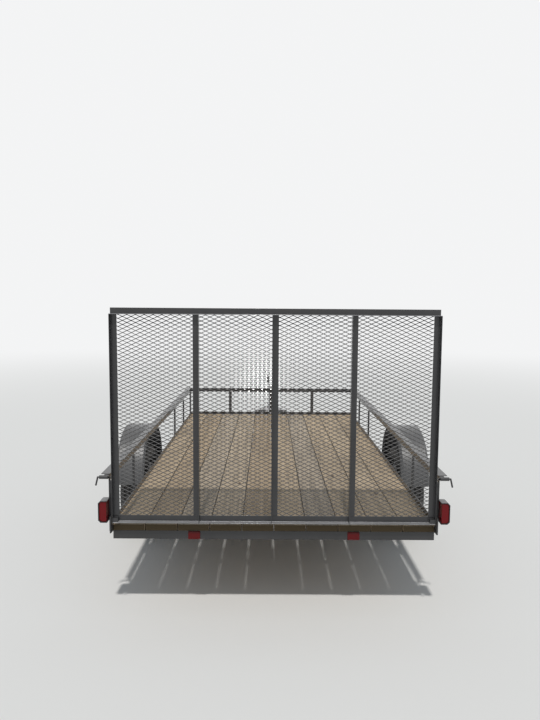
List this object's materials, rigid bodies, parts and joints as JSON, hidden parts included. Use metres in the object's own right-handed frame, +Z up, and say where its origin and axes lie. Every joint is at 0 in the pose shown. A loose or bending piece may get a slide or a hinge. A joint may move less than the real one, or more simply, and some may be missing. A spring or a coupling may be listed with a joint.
{
  "type": "utility trailer",
  "caption": "Flat utility trailer on one axle, with a plank deck, low side rails, round fenders, a mesh ramp gate at the rear, and a tongue with a coupler and a jack.",
  "frame": {"origin": "on the ground under the middle of the whole trailer", "axes": "+Y forward to the coupler, +X to the right side, +Z up"},
  "size_m": [2.48, 5.019, 1.867],
  "materials": {
    "black_paint": "gloss",
    "deck_wood": "weathered",
    "tyre_rubber": "matte",
    "rim_paint": "satin",
    "zinc": "zinc plated",
    "red_lens": "gloss"
  },
  "bodies": {
    "trailer": {"axle": "black_paint", "coupler": "black_paint", "crossmembers": "black_paint", "deck_boards": "deck_wood", "fender_brackets_left": "black_paint", "fender_brackets_right": "black_paint", "fender_left": "black_paint", "fender_right": "black_paint", "front_sill": "black_paint", "hanger_front_left": "black_paint", "hanger_front_right": "black_paint", "hanger_rear_left": "black_paint", "hanger_rear_right": "black_paint", "hinge_bracket_left": "black_paint", "hinge_bracket_right": "black_paint", "jack_crank": "zinc", "jack_housing": "zinc", "latch_left": "black_paint", "latch_right": "black_paint", "light_guard_left": "black_paint", "light_guard_right": "black_paint", "posts_front": "black_paint", "posts_left": "black_paint", "posts_right": "black_paint", "rear_sill": "black_paint", "reflector_left": "red_lens", "reflector_right": "red_lens", "safety_chains": "zinc", "side_rail_left": "black_paint", "side_rail_right": "black_paint", "spring_clamp_left": "zinc", "spring_clamp_right": "zinc", "spring_left": "black_paint", "spring_right": "black_paint", "tail_light_left": "red_lens", "tail_light_right": "red_lens", "tongue_left": "black_paint", "tongue_right": "black_paint", "top_rail_front": "black_paint", "top_rail_left": "black_paint", "top_rail_right": "black_paint"},
    "wheel_left": {"hub_left": "zinc", "rim_left": "rim_paint", "tyre_left": "tyre_rubber"},
    "wheel_right": {"hub_right": "zinc", "rim_right": "rim_paint", "tyre_right": "tyre_rubber"},
    "gate": {"gate_bottom_bar": "black_paint", "gate_mesh": "black_paint", "gate_top_bar": "black_paint", "gate_uprights": "black_paint"},
    "jack_stand": {"jack_leg": "zinc"}
  },
  "joints": [
    {"name": "wheel_left_spin", "type": "hinge", "parent": "trailer", "child": "wheel_left", "pos_m": [-1.128, -0.93372, 0.344], "axis": [1, 0, 0], "continuous": true},
    {"name": "wheel_right_spin", "type": "hinge", "parent": "trailer", "child": "wheel_right", "pos_m": [1.128, -0.93372, 0.344], "axis": [1, 0, 0], "continuous": true},
    {"name": "gate_hinge", "type": "hinge", "parent": "trailer", "child": "gate", "pos_m": [0, -2.4635, 0.61], "axis": [1, 0, 0], "range_deg": [0, 117]},
    {"name": "jack_slide", "type": "slide", "parent": "trailer", "child": "jack_stand", "axis": [0, 0, 1], "range_m": [0, 0.28]}
  ]
}
